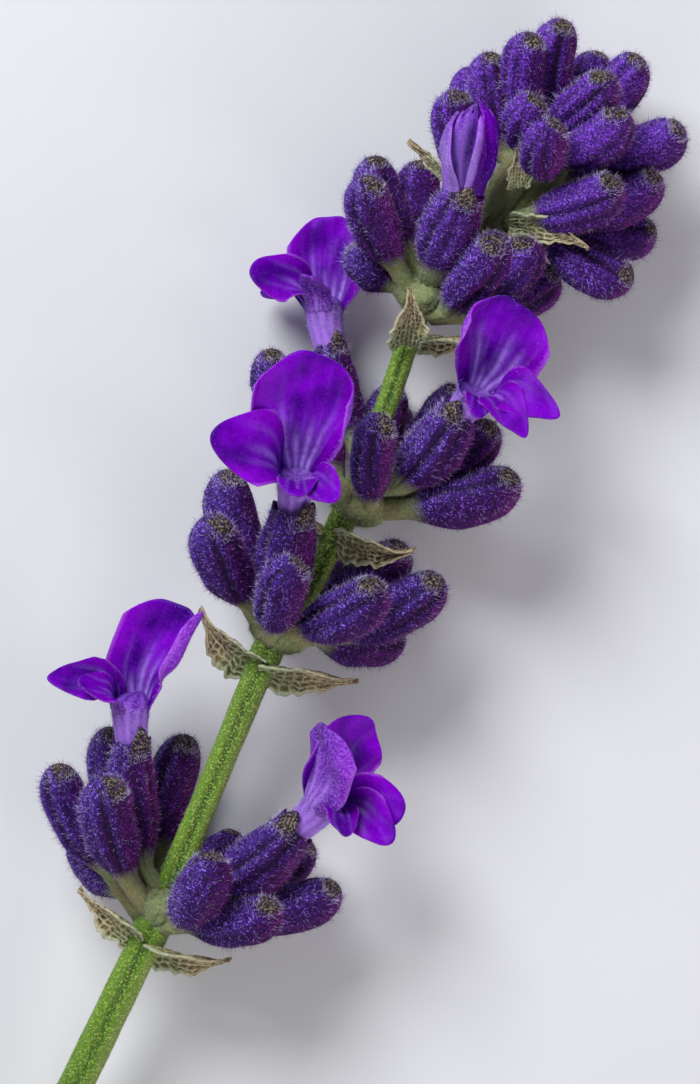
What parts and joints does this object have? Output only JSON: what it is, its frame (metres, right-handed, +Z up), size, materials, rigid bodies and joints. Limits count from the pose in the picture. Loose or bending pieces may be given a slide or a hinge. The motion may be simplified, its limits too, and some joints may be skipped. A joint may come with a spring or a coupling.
{
  "type": "lavender sprig",
  "caption": "Cut lavender sprig lying on its side: square green stem, woolly violet calyx whorls, a crowded tip, open two-lipped violet flowers and dry bracts.",
  "frame": {"origin": "on the surface that the sprig lies on, below the middle of its bounding box", "axes": "+Y along the sprig from the cut end of its stem to its tip, +Z up from the surface, +X to the right seen from above"},
  "size_m": [0.0193, 0.0717, 0.0129],
  "materials": {
    "stem_green": "downy, satin",
    "calyx_violet": "woolly, matte",
    "petal_violet": "velvety, satin",
    "bract_tan": "dry, matte"
  },
  "bodies": {
    "root": {"stem": "stem_green", "whorl_1_calyces": "calyx_violet", "whorl_2_calyces": "calyx_violet", "whorl_3_calyces": "calyx_violet", "whorl_4_calyces": "calyx_violet", "head_calyces": "calyx_violet", "flower_1_left": "petal_violet", "flower_1_right": "petal_violet", "flower_2": "petal_violet", "flower_3_left": "petal_violet", "flower_3_right": "petal_violet", "flower_4_bud": "petal_violet", "bract_1_left": "bract_tan", "bract_1_right": "bract_tan", "bract_2_left": "bract_tan", "bract_2_right": "bract_tan", "bract_3_left": "bract_tan", "bract_3_right": "bract_tan", "bract_4_front": "bract_tan", "bract_4_right": "bract_tan"}
  },
  "joints": []
}
